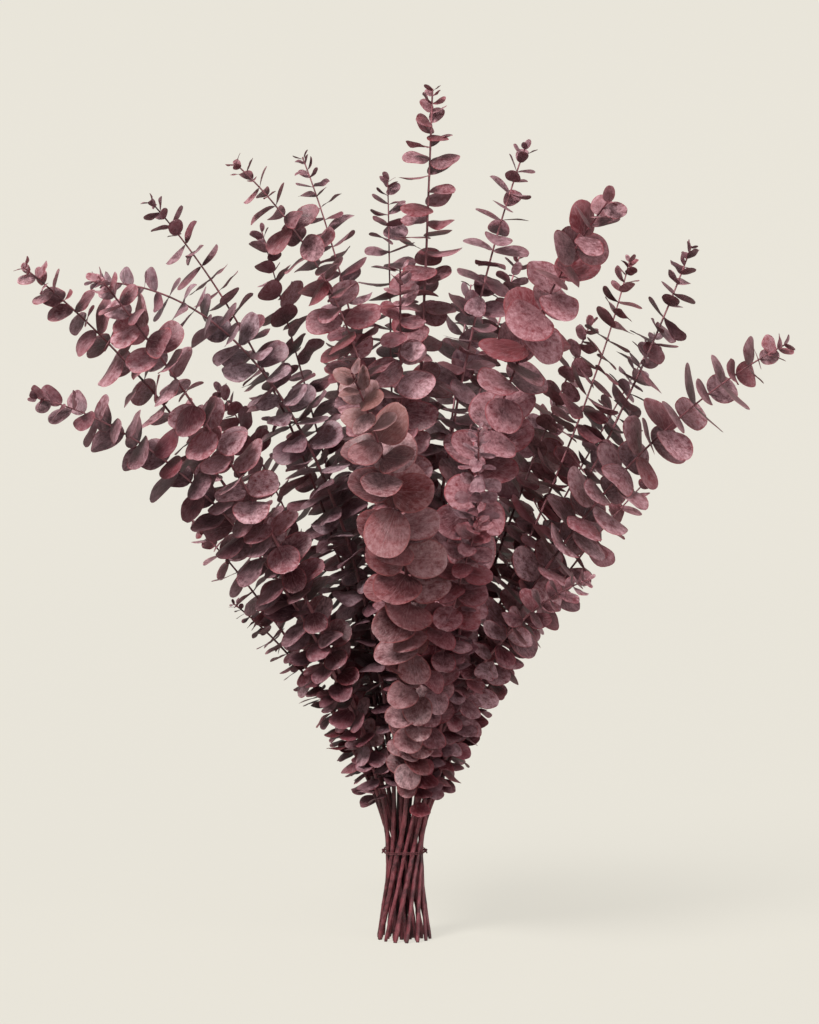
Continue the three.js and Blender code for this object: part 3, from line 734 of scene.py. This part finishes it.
# Where a point is on its leaf: how far out from its stalk and middle, at the rim, on the midrib, on a vein
# or in a soft streak, both of which fan out from the stalk, and on the under side
def leafMarksGroup():
    tree, given, made = newGroup("leafMarks", {"Veins": ("Float", 9.0), "Streaks": ("Float", 20.0)}, {
        name: "Float" for name in ("Outward", "Rim", "Midrib", "Veins", "Streaks", "Under")
    })
    place = splitNode(tree, surfaceValue(tree, "leafPlace", "Vector"))
    seed = surfaceValue(tree, "leafSeed", "Fac")

    def distance(x, y):
        ySquared = mathNode(tree, "MULTIPLY", y, y)
        return mathNode(tree, "SQRT", mathNode(tree, "MULTIPLY_ADD", x, x, ySquared))

    fromStalk = distance(place["X"], place["Y"])
    fromMiddle = distance(mathNode(tree, "MULTIPLY_ADD", place["X"], 2.0, -1.0),
                          mathNode(tree, "MULTIPLY", place["Y"], 2.0))
    outward = mathNode(tree, "MULTIPLY", fromMiddle, leafMarks["outwardFromMiddle"])
    outward = mathNode(tree, "MULTIPLY_ADD", fromStalk, leafMarks["outwardFromStalk"], outward)
    tree.links.new(outward, made["Outward"])
    tree.links.new(ramp(tree, surfaceValue(tree, "towardsRim", "Fac"), *leafMarks["rim"]), made["Rim"])
    beside = mathNode(tree, "ABSOLUTE", place["Y"])
    width = mathNode(tree, "MULTIPLY_ADD", place["X"], leafMarks["midribNarrows"], leafMarks["midribWidth"])
    offMidrib = ramp(tree, beside, mathNode(tree, "MULTIPLY", width, leafMarks["midribEdge"]), width)
    tree.links.new(mathNode(tree, "SUBTRACT", 1.0, offMidrib), made["Midrib"])
    fanFrom = mathNode(tree, "ADD", place["X"], leafMarks["fanBehindStalk"])
    fan = mathNode(tree, "ARCTAN2", place["Y"], fanFrom)
    own = mathNode(tree, "MULTIPLY", seed, leafMarks["seedShift"])

    def fanned(lines, stretch, detail):
        way = addNode(tree, "ShaderNodeCombineXYZ", {
            0: mathNode(tree, "MULTIPLY", fan, lines),
            1: mathNode(tree, "MULTIPLY", fromStalk, stretch), 2: own,
        }).outputs[0]
        return addNode(tree, "ShaderNodeTexNoise", {
            "Vector": way, "Scale": 1.0, "Detail": detail, "Roughness": 0.5,
        }).outputs[0]

    # a vein runs where the noise crosses its middle value
    noise = fanned(given["Veins"], leafMarks["veinStretch"], leafMarks["veinDetail"])
    offVein = mathNode(tree, "ABSOLUTE", mathNode(tree, "SUBTRACT", noise, 0.5))
    offVein = ramp(tree, offVein, *leafMarks["veinEdge"])
    tree.links.new(mathNode(tree, "SUBTRACT", 1.0, offVein), made["Veins"])
    noise = fanned(given["Streaks"], leafMarks["streakStretch"], leafMarks["streakDetail"])
    tree.links.new(ramp(tree, noise, *leafMarks["streakEdge"]), made["Streaks"])
    tree.links.new(ramp(tree, place["Z"], *leafMarks["under"]), made["Under"])
    return tree


# Dust and dry bloom that lighten a colour in soft patches, and dark specks over it. Each is a row of what
# patchesAt takes.
dryBloom = {"dust": (230.0, 0.26, 0.72, 0.78), "specks": (900.0, 0.6, 0.72)}


def dryBloomGroup(patches):
    tree, given, made = newGroup("dryBloom", {
        "Color": ("Color", (0.2, 0.1, 0.1, 1)), "Bloom": ("Color", (0.5, 0.4, 0.4, 1)),
        "Speck": ("Color", (0.05, 0.02, 0.02, 1)), "Place": ("Vector", (0, 0, 0)),
        "Amount": ("Float", 0.5), "Specks": ("Float", 0.6),
    }, {"Color": "Color", "Dust": "Float"})
    dust = patchesAt(tree, patches, given["Place"], *dryBloom["dust"])
    share = mathNode(tree, "MULTIPLY", dust, given["Amount"])
    dusty = blendColours(tree, share, given["Color"], given["Bloom"])
    specks = patchesAt(tree, patches, given["Place"], *dryBloom["specks"])
    dark = mathNode(tree, "MULTIPLY", specks, given["Specks"])
    tree.links.new(blendColours(tree, dark, dusty, given["Speck"]), made["Color"])
    tree.links.new(share, made["Dust"])
    return tree


# A colour given in display values from 0 to 255, as the shaders need it
def srgb(*channels):
    shares = [v / 255 for v in channels]
    return tuple(v / 12.92 if v <= 0.04045 else ((v + 0.055) / 1.055) ** 2.4 for v in shares) + (1,)


def newFinish(name):
    material = bpy.data.materials.new(name)
    material.use_nodes = True
    tree = material.node_tree
    return material, tree, tree.nodes["Principled BSDF"]


# Bumps of a height in metres, and a surface that is rougher where it is dusty
def roughen(tree, shader, height, dust, look):
    distance, strength = look["bump"]
    bump = addNode(tree, "ShaderNodeBump", {"Height": height, "Distance": distance, "Strength": strength})
    tree.links.new(bump.outputs[0], shader.inputs["Normal"])
    least, most = look["roughness"]
    spread = addNode(tree, "ShaderNodeMapRange", {0: dust, 1: 0.0, 2: 1.0, 3: least, 4: most})
    tree.links.new(spread.outputs[0], shader.inputs["Roughness"])


# Each hue: the dusky body of its leaves, a redder one, their darkest parts, their dry bloom, their rim, how
# much of them is red, and for one stem the tone that the sun has faded its top to
leafHues = {
    "plum": {"dusk": (116, 64, 74), "warm": (122, 40, 50), "deep": (42, 14, 22), "bloom": (196, 154, 162),
             "rim": (146, 74, 82), "red": 0.12},
    "grey": {"dusk": (134, 92, 102), "warm": (130, 58, 68), "deep": (52, 28, 36), "bloom": (208, 176, 184),
             "rim": (154, 100, 108), "red": 0},
    "burgundy": {"dusk": (130, 62, 70), "warm": (126, 34, 42), "deep": (50, 10, 16), "bloom": (206, 156, 164),
                 "rim": (156, 68, 74), "red": 0.35},
    "rose": {"dusk": (148, 78, 88), "warm": (138, 40, 50), "deep": (60, 14, 22), "bloom": (228, 184, 192),
             "rim": (178, 92, 98), "red": 0.28},
    "russet": {"dusk": (136, 76, 80), "warm": (128, 44, 48), "deep": (56, 18, 22), "bloom": (204, 160, 164),
               "rim": (156, 82, 82), "red": 0.3, "sunned": (156, 114, 102)},
}


# How a leaf gets its colour. Each set of weights says how far patches, marks, the leaf's own draw and its
# height carry a change from its base.
leafLook = {
    "marks": {"Veins": 9.0, "Streaks": 20.0},
    "ownDraws": {"redLeaf": 7.3, "darkLeaf": 23.1, "dustyLeaf": 51.7},
    "redPatches": (70.0, 0.38, 0.62), "darkPatches": (90.0, 0.45, 0.68),
    "raised": (0.12, 0.36), "sunned": (0.37, 0.42), "sunnedShare": 0.6,
    "redBase": -0.45, "redder": {"redPatches": 0.4, "redLeaf": 0.9, "outward": 0.3},
    "darkBase": 0.9, "darkest": 0.86,
    # the outward weight paints shade near the stalk
    "darker": {"outward": -0.85, "darkLeaf": 0.85, "darkPatches": 0.3, "streaks": -0.2, "raised": -0.34},
    "dustBase": -0.42, "specks": 0.4,
    # the outward weight paints a highlight towards the rim, on top of the dry bloom
    "dustAndRimHighlight": {"dustyLeaf": 0.8, "outward": 0.5, "streaks": 0.16, "under": 0.1, "raised": 0.2},
    "lines": {"Veins": (0.18, "bloom"), "Midrib": (0.16, "bloom"), "Rim": (0.7, "rim")},
    "grainPerMetre": 420.0, "heights": {"Streaks": 0.7, "Veins": 0.4, "Midrib": 0.8},
    "bump": (0.0003, 0.45), "roughness": (0.34, 0.64),
}


def leafFinish(name, hue, groups):
    material, tree, shader = newFinish(name)
    marks = fillGroup(tree, groups["leafMarks"], leafLook["marks"])
    seed = surfaceValue(tree, "leafSeed", "Fac")
    causes = {cause: mathNode(tree, "FRACT", mathNode(tree, "MULTIPLY", seed, factor))
              for cause, factor in leafLook["ownDraws"].items()}
    where = addNode(tree, "ShaderNodeTexCoord").outputs["Object"]
    shift = addNode(tree, "ShaderNodeCombineXYZ", {0: seed, 1: causes["redLeaf"], 2: causes["darkLeaf"]})
    place = vectorNode(tree, "ADD", where, shift.outputs[0])
    height = splitNode(tree, where)["Z"]
    causes["raised"] = ramp(tree, height, *leafLook["raised"])
    for mark in ("Outward", "Streaks", "Under"):
        causes[mark.lower()] = marks[mark]
    for cause in ("redPatches", "darkPatches"):
        causes[cause] = patchesAt(tree, groups["patches"], place, *leafLook[cause])

    def weigh(base, weights):
        total = base
        for cause, weight in weights.items():
            total = mathNode(tree, "MULTIPLY_ADD", causes[cause], weight, total)
        return addNode(tree, "ShaderNodeClamp", {0: total}).outputs[0]

    # redder on some leaves, in patches and at the rim
    redness = weigh(hue["red"] + leafLook["redBase"], leafLook["redder"])
    colour = blendColours(tree, redness, srgb(*hue["dusk"]), srgb(*hue["warm"]))
    if "sunned" in hue:
        faded = mathNode(tree, "MULTIPLY", ramp(tree, height, *leafLook["sunned"]), leafLook["sunnedShare"])
        colour = blendColours(tree, faded, colour, srgb(*hue["sunned"]))
    # painted shade near the stalk, and darker on some leaves, in blotches and low in the bunch, and paler
    # along streaks
    darkness = weigh(leafLook["darkBase"], leafLook["darker"])
    darkness = mathNode(tree, "MULTIPLY", darkness, leafLook["darkest"])
    colour = blendColours(tree, darkness, colour, srgb(*hue["deep"]))
    # and paler in patches of dry bloom on some leaves, along streaks, on the under side and high in the
    # bunch, and towards the rim, where it is partly dry bloom and partly a painted highlight
    dry = fillGroup(tree, groups["dryBloom"], {
        "Color": colour, "Bloom": srgb(*hue["bloom"]), "Speck": srgb(*hue["deep"]), "Place": place,
        "Amount": weigh(leafLook["dustBase"], leafLook["dustAndRimHighlight"]), "Specks": leafLook["specks"],
    })
    colour = dry["Color"]
    for mark, (share, tone) in leafLook["lines"].items():
        share = mathNode(tree, "MULTIPLY", marks[mark], share)
        colour = blendColours(tree, share, colour, srgb(*hue[tone]))
    tree.links.new(colour, shader.inputs["Base Color"])
    relief = addNode(tree, "ShaderNodeTexNoise", {
        "Vector": place, "Scale": leafLook["grainPerMetre"], "Detail": 3.0,
    }).outputs[0]
    for mark, share in leafLook["heights"].items():
        relief = mathNode(tree, "MULTIPLY_ADD", marks[mark], share, relief)
    roughen(tree, shader, relief, dry["Dust"], leafLook)
    return material


# The bark is pinker and more dusty among the leaves, darker in patches, and painted with shade in the middle
# of the bunch
bark = {
    "dusk": (108, 32, 42), "pink": (198, 130, 138), "deep": (36, 8, 14), "bloom": (206, 150, 156),
    "fibres": (900.0, 0.4, 0.66), "fibresRound": 0.002, "fibresAlong": 0.16,
    "leafyHeights": (0.08, 0.2), "leafyPink": 0.1, "stemPink": 0.6, "fibrePink": 0.3, "leastPink": 0.05,
    "darkPatches": (90.0, 0.42, 0.64), "darkest": 0.95, "paleStems": -0.4,
    # inner and the share after it paint shade on the stems in the middle of the bunch
    "dust": 0.08, "leafyDust": 0.3, "specks": 0.6, "inner": (0.005, 0.0125), "innerShadeShare": 0.85,
    "edgeHeight": 0.0014, "cutHeight": 0.0002, "cut": (160, 116, 100),
    "fibreHeight": 0.7, "bump": (0.0003, 0.5), "roughness": (0.32, 0.6),
}


def barkFinish(groups):
    material, tree, shader = newFinish("bark")
    tube = splitNode(tree, surfaceValue(tree, "aroundTube", "Vector"))
    along = surfaceValue(tree, "alongStem", "Fac")
    seed = surfaceValue(tree, "leafSeed", "Fac")
    # fibres run along the stem
    place = addNode(tree, "ShaderNodeCombineXYZ", {
        0: mathNode(tree, "MULTIPLY_ADD", tube["X"], bark["fibresRound"], seed),
        1: mathNode(tree, "MULTIPLY", tube["Y"], bark["fibresRound"]),
        2: mathNode(tree, "MULTIPLY", along, bark["fibresAlong"]),
    }).outputs[0]
    fibres = patchesAt(tree, groups["patches"], place, *bark["fibres"])
    where = addNode(tree, "ShaderNodeTexCoord").outputs["Object"]
    height = splitNode(tree, where)["Z"]
    # pinker among the leaves, on some stems more than on others
    pinkStem = mathNode(tree, "MULTIPLY_ADD", seed, bark["stemPink"], bark["leafyPink"])
    leafy = mathNode(tree, "MULTIPLY", ramp(tree, height, *bark["leafyHeights"]), pinkStem)
    pinkness = mathNode(tree, "MULTIPLY_ADD", fibres, bark["fibrePink"],
                        mathNode(tree, "ADD", leafy, bark["leastPink"]))
    colour = blendColours(tree, pinkness, srgb(*bark["dusk"]), srgb(*bark["pink"]))
    patches = patchesAt(tree, groups["patches"], where, *bark["darkPatches"])
    darkStem = mathNode(tree, "MULTIPLY_ADD", seed, bark["paleStems"], bark["darkest"])
    darkness = mathNode(tree, "MULTIPLY", patches, darkStem)
    colour = blendColours(tree, darkness, colour, srgb(*bark["deep"]))
    dust = mathNode(tree, "MULTIPLY_ADD", leafy, bark["leafyDust"], bark["dust"])
    dry = fillGroup(tree, groups["dryBloom"], {
        "Color": colour, "Bloom": srgb(*bark["bloom"]), "Speck": srgb(*bark["deep"]), "Place": where,
        "Amount": dust, "Specks": bark["specks"],
    })
    # painted shade in the middle of the bunch, with a dark edge round each cut end and pale wood on the cut
    flat = vectorNode(tree, "MULTIPLY", where, (1.0, 1.0, 0.0))
    outer = ramp(tree, lengthNode(tree, flat), *bark["inner"])
    outer = mathNode(tree, "MULTIPLY", outer, bark["innerShadeShare"])
    inner = mathNode(tree, "SUBTRACT", bark["innerShadeShare"], outer)
    edge = mathNode(tree, "SUBTRACT", 1.0, ramp(tree, height, 0.0, bark["edgeHeight"]))
    colour = blendColours(tree, mathNode(tree, "MAXIMUM", edge, inner), dry["Color"], srgb(*bark["deep"]))
    cut = mathNode(tree, "LESS_THAN", height, bark["cutHeight"])
    tree.links.new(blendColours(tree, cut, colour, srgb(*bark["cut"])), shader.inputs["Base Color"])
    relief = mathNode(tree, "MULTIPLY_ADD", fibres, bark["fibreHeight"], dry["Dust"])
    roughen(tree, shader, relief, dry["Dust"], bark)
    return material


# The thread: two turns round the outer stems, of two strands laid together, with a knot on each side.
# It bulges over the stems and sags between them.
thread = {
    "radius": 0.46, "strandShare": 0.62, "strandTurn": 2.6, "sides": 7,
    "turns": 2.0, "pitch": 1.15, "pointsPerTurn": 120,
    "seat": 1.3, "bulge": 0.25, "bulges": 7, "sag": 0.35, "sags": 3,
    "knotSize": 0.42, "knotDepth": 1.1, "knotPoints": 60,
    "tailLength": 2.6, "tailPoints": 14,
    "tailOut": 0.45, "tailAside": 0.5, "tailDrop": 0.25, "tailHang": 0.55,
    "colour": (84, 36, 42), "worn": (140, 84, 88),
    "wornPatches": (500.0, 0.42, 0.66), "wornRidges": 0.5, "leastWorn": 0.2,
    "fibresAlong": 5200.0, "fibresRound": 3.0, "bump": (0.00012, 0.7), "roughness": (0.7, 0.95),
}


def threadFinish(groups):
    material, tree, shader = newFinish("thread")
    along = surfaceValue(tree, "alongThread", "Fac")
    tube = splitNode(tree, surfaceValue(tree, "aroundTube", "Vector"))
    angle = mathNode(tree, "ARCTAN2", tube["Y"], tube["X"])
    # fibres wind round each strand
    wound = mathNode(tree, "MULTIPLY_ADD", along, thread["fibresAlong"],
                     mathNode(tree, "MULTIPLY", angle, thread["fibresRound"]))
    ridges = mathNode(tree, "MULTIPLY_ADD", mathNode(tree, "SINE", wound), 0.5, 0.5)
    where = addNode(tree, "ShaderNodeTexCoord").outputs["Object"]
    worn = patchesAt(tree, groups["patches"], where, *thread["wornPatches"])
    share = mathNode(tree, "MULTIPLY_ADD", ridges, thread["wornRidges"], thread["leastWorn"])
    share = mathNode(tree, "MULTIPLY", share, worn)
    colour = blendColours(tree, share, srgb(*thread["colour"]), srgb(*thread["worn"]))
    tree.links.new(colour, shader.inputs["Base Color"])
    roughen(tree, shader, ridges, worn, thread)
    return material


def makeFinishes():
    patches = patchesGroup()
    groups = {"patches": patches, "leafMarks": leafMarksGroup(), "dryBloom": dryBloomGroup(patches)}
    finishes = {name: leafFinish("leaf" + name.capitalize(), hue, groups) for name, hue in leafHues.items()}
    finishes["bark"] = barkFinish(groups)
    finishes["thread"] = threadFinish(groups)
    return finishes


# Two strands turn round each line
def threadTree():
    tree, given, result = newTree("thread", {
        "Radius": "Float", "Strand turn": "Float", "Sides": "Int", "Finish": "Material",
    })
    path = addNode(tree, "GeometryNodeMeshToCurve", {0: given["Geometry"]})
    turns = mathNode(tree, "DIVIDE", namedValue(tree, "alongThread", "FLOAT"), given["Strand turn"])
    tangent = addNode(tree, "GeometryNodeInputTangent").outputs[0]
    normal = addNode(tree, "GeometryNodeInputNormal").outputs[0]
    beside = vectorNode(tree, "CROSS_PRODUCT", tangent, normal)
    half = mathNode(tree, "MULTIPLY", given["Radius"], 0.5)
    strandRadius = mathNode(tree, "MULTIPLY", given["Radius"], thread["strandShare"])
    joined = addNode(tree, "GeometryNodeJoinGeometry")
    for strand in (0, 1):
        angle = mathNode(tree, "MULTIPLY_ADD", turns, math.tau, math.pi * strand)
        out = scaleNode(tree, normal, mathNode(tree, "MULTIPLY", mathNode(tree, "COSINE", angle), half))
        aside = scaleNode(tree, beside, mathNode(tree, "MULTIPLY", mathNode(tree, "SINE", angle), half))
        offset = vectorNode(tree, "ADD", out, aside)
        shifted = addNode(tree, "GeometryNodeSetPosition", {"Geometry": path.outputs[0], "Offset": offset})
        tube = tubeAlong(tree, shifted.outputs[0], given["Sides"], strandRadius)
        tree.links.new(tube, joined.inputs[0])
    done = addNode(tree, "GeometryNodeSetMaterial",
                   {0: smoothAndReal(tree, joined), "Material": given["Finish"]})
    tree.links.new(done.outputs[0], result)
    return tree


# The lines that the thread follows, each with whether it is closed: its turns, the knots and their ends
def threadLines():
    outer = rings["outer"]["steps"] * bunch["ringSpacing"] + bunch["footDiameter"] / 2 + bunch["seatGap"]
    count = int(thread["turns"] * thread["pointsPerTurn"])
    turn = math.pi + np.arange(count + 1) / thread["pointsPerTurn"] * math.tau
    radius = outer + thread["radius"] * (thread["seat"] + thread["bulge"] * np.sin(turn * thread["bulges"]))
    climb = thread["pitch"] * (turn - turn.mean()) / math.tau
    height = bunch["tieHeight"] + climb + thread["sag"] * np.sin(turn * thread["sags"])
    lines = [(np.stack([radius * np.cos(turn), radius * np.sin(turn), height], axis=1), False)]
    # a trefoil on each side, with its two ends hanging down
    t = np.linspace(0, math.tau, thread["knotPoints"], endpoint=False)
    knot = np.stack([np.sin(t) + 2 * np.sin(2 * t), -np.sin(3 * t) * thread["knotDepth"],
                     np.cos(t) - 2 * np.cos(2 * t)], axis=1)
    reach = np.linspace(0, 1, thread["tailPoints"])
    hang = thread["tailDrop"] * reach + thread["tailHang"] * reach ** 2
    for side in (-1, 1):
        middle = np.array([side * (outer + 2 * thread["radius"]), 0, bunch["tieHeight"]])
        lines.append((middle + knot * thread["knotSize"], True))
        for end in (-1, 1):
            tail = np.stack([side * reach * thread["tailLength"] * thread["tailOut"],
                             end * reach * thread["tailLength"] * thread["tailAside"],
                             -thread["tailLength"] * hang], axis=1)
            lines.append((middle + tail, False))
    return lines


def tiePiece(finishes):
    points, edges, along = [], [], []
    for line, closed in threadLines():
        first = len(points)
        points += list(line)
        along += list(np.concatenate([[0], np.cumsum(np.linalg.norm(np.diff(line, axis=0), axis=1))]))
        edges += [(k, k + 1) for k in range(first, len(points) - 1)]
        if closed:
            edges.append((len(points) - 1, first))
    mesh = lineMesh("threadPoints", np.array(points) * mm, edges, {"alongThread": np.array(along) * mm})
    piece = grow("tieThread", mesh, threadTree(), {
        "Radius": thread["radius"] * mm, "Strand turn": thread["strandTurn"] * mm, "Sides": thread["sides"],
        "Finish": finishes["thread"],
    })
    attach(piece, "root")
    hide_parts("tie")


# The camera looks slightly down on the bunch, from the side that the photograph shows
view = {
    "distance": 2.4, "height": 0.5, "aim": (0.0038, 0, 0.3277), "frameHeight": 0.7782, "filmHeight": 36,
    "farthest": 50,
}


def setCamera():
    data = bpy.data.cameras.new("camera")
    data.sensor_fit = "VERTICAL"
    data.sensor_height = view["filmHeight"]
    camera = bpy.data.objects.new("camera", data)
    scene.collection.objects.link(camera)
    aim = Vector(view["aim"])
    camera.location = (aim.x, -view["distance"], view["height"])
    away = aim - camera.location
    camera.rotation_euler = away.to_track_quat("-Z", "Y").to_euler()
    data.lens = view["filmHeight"] * away.length / view["frameHeight"]
    data.clip_end = view["farthest"]
    scene.camera = camera


# A pale floor that sweeps up behind. Most of its brightness is its own, so that its shadows stay faint,
# and fainter still away from the bunch.
floor = {
    "colour": (232, 228, 217), "roughness": 0.95, "mottlePerMetre": 9.0, "mottle": 0.04,
    "shaded": 0.2, "shadedFar": 0.05, "fades": (0.14, 0.5), "glow": 0.8, "glowOnBunch": 0.3,
    "wide": 12, "front": -6, "flatTo": 2.5, "sweep": 1.5, "sweepPoints": 13, "top": 6,
}


def floorMesh():
    radius = floor["sweep"]
    profile = [(floor["front"], 0.0)]
    profile += [(floor["flatTo"] + radius * math.sin(a), radius - radius * math.cos(a))
                for a in np.linspace(0, math.pi / 2, floor["sweepPoints"])]
    profile.append((floor["flatTo"] + radius, floor["top"]))
    count = len(profile)
    points = [(x, y, z) for x in (-floor["wide"] / 2, floor["wide"] / 2) for y, z in profile]
    mesh = bpy.data.meshes.new("floor")
    mesh.from_pydata(points, [], [(k, k + count, k + count + 1, k + 1) for k in range(count - 1)])
    mesh.shade_smooth()
    return mesh


def paperFinish():
    material, tree, shader = newFinish("paper")
    where = addNode(tree, "ShaderNodeTexCoord").outputs["Object"]
    paper = srgb(*floor["colour"])

    def dimmed(share):
        return tuple(share * v for v in paper[:3]) + (1,)

    glowFar = floor["glow"] + floor["shaded"] - floor["shadedFar"]
    far = ramp(tree, lengthNode(tree, where), *floor["fades"])
    base = blendColours(tree, far, dimmed(floor["shaded"]), dimmed(floor["shadedFar"]))
    glow = blendColours(tree, far, dimmed(floor["glow"]), dimmed(glowFar))
    mottle = addNode(tree, "ShaderNodeTexNoise", {
        "Vector": where, "Scale": floor["mottlePerMetre"], "Detail": 3.0,
    }).outputs[0]
    mottled = blendColours(tree, mathNode(tree, "MULTIPLY", mottle, floor["mottle"]), base, (0, 0, 0, 1))
    tree.links.new(mottled, shader.inputs["Base Color"])
    # the bunch gets less of the glow than is seen
    seen = addNode(tree, "ShaderNodeLightPath").outputs["Is Camera Ray"]
    shine = blendColours(tree, seen, dimmed(floor["glowOnBunch"]), glow)
    tree.links.new(shine, shader.inputs["Emission Color"])
    shader.inputs["Emission Strength"].default_value = 1
    shader.inputs["Roughness"].default_value = floor["roughness"]
    shader.inputs["Specular IOR Level"].default_value = 0
    return material


def setFloor():
    mesh = floorMesh()
    mesh.materials.append(paperFinish())
    backdrop = bpy.data.objects.new("floor", mesh)
    scene.collection.objects.link(backdrop)


# A soft key light from the left, a softer one from the right front, and light from all around
lights = {
    "key": {"from": (-1.3, -1.5, 2.1), "softness": 20, "strength": 2.85, "colour": (1, 0.985, 0.965)},
    "fill": {"from": (1.6, -1.9, 0.9), "softness": 60, "strength": 1.0, "colour": (1, 0.99, 0.98)},
}
lightAround = 0.36


def setLights():
    for name, light in lights.items():
        data = bpy.data.lights.new(name, "SUN")
        data.angle = math.radians(light["softness"])
        data.energy = light["strength"]
        data.color = light["colour"]
        lamp = bpy.data.objects.new(name, data)
        lamp.rotation_euler = (-Vector(light["from"])).to_track_quat("-Z", "Y").to_euler()
        scene.collection.objects.link(lamp)
    world = bpy.data.worlds.new("studio")
    world.use_nodes = True
    background = world.node_tree.nodes["Background"]
    background.inputs["Color"].default_value = (1, 1, 1, 1)
    background.inputs["Strength"].default_value = lightAround
    scene.world = world
    scene.view_settings.view_transform = "Standard"


stems = layStems()
leaves = setLeaves(stems)
print("laid out", len(stems), "stems and", len(leaves), "leaves")
finishes = makeFinishes()
print("materials made")
leafyStemPieces(stems, leaves, finishes)
print("leafy stems made")
tiePiece(finishes)
print("tie made")
setCamera()
setFloor()
setLights()
print("camera, floor and light set")
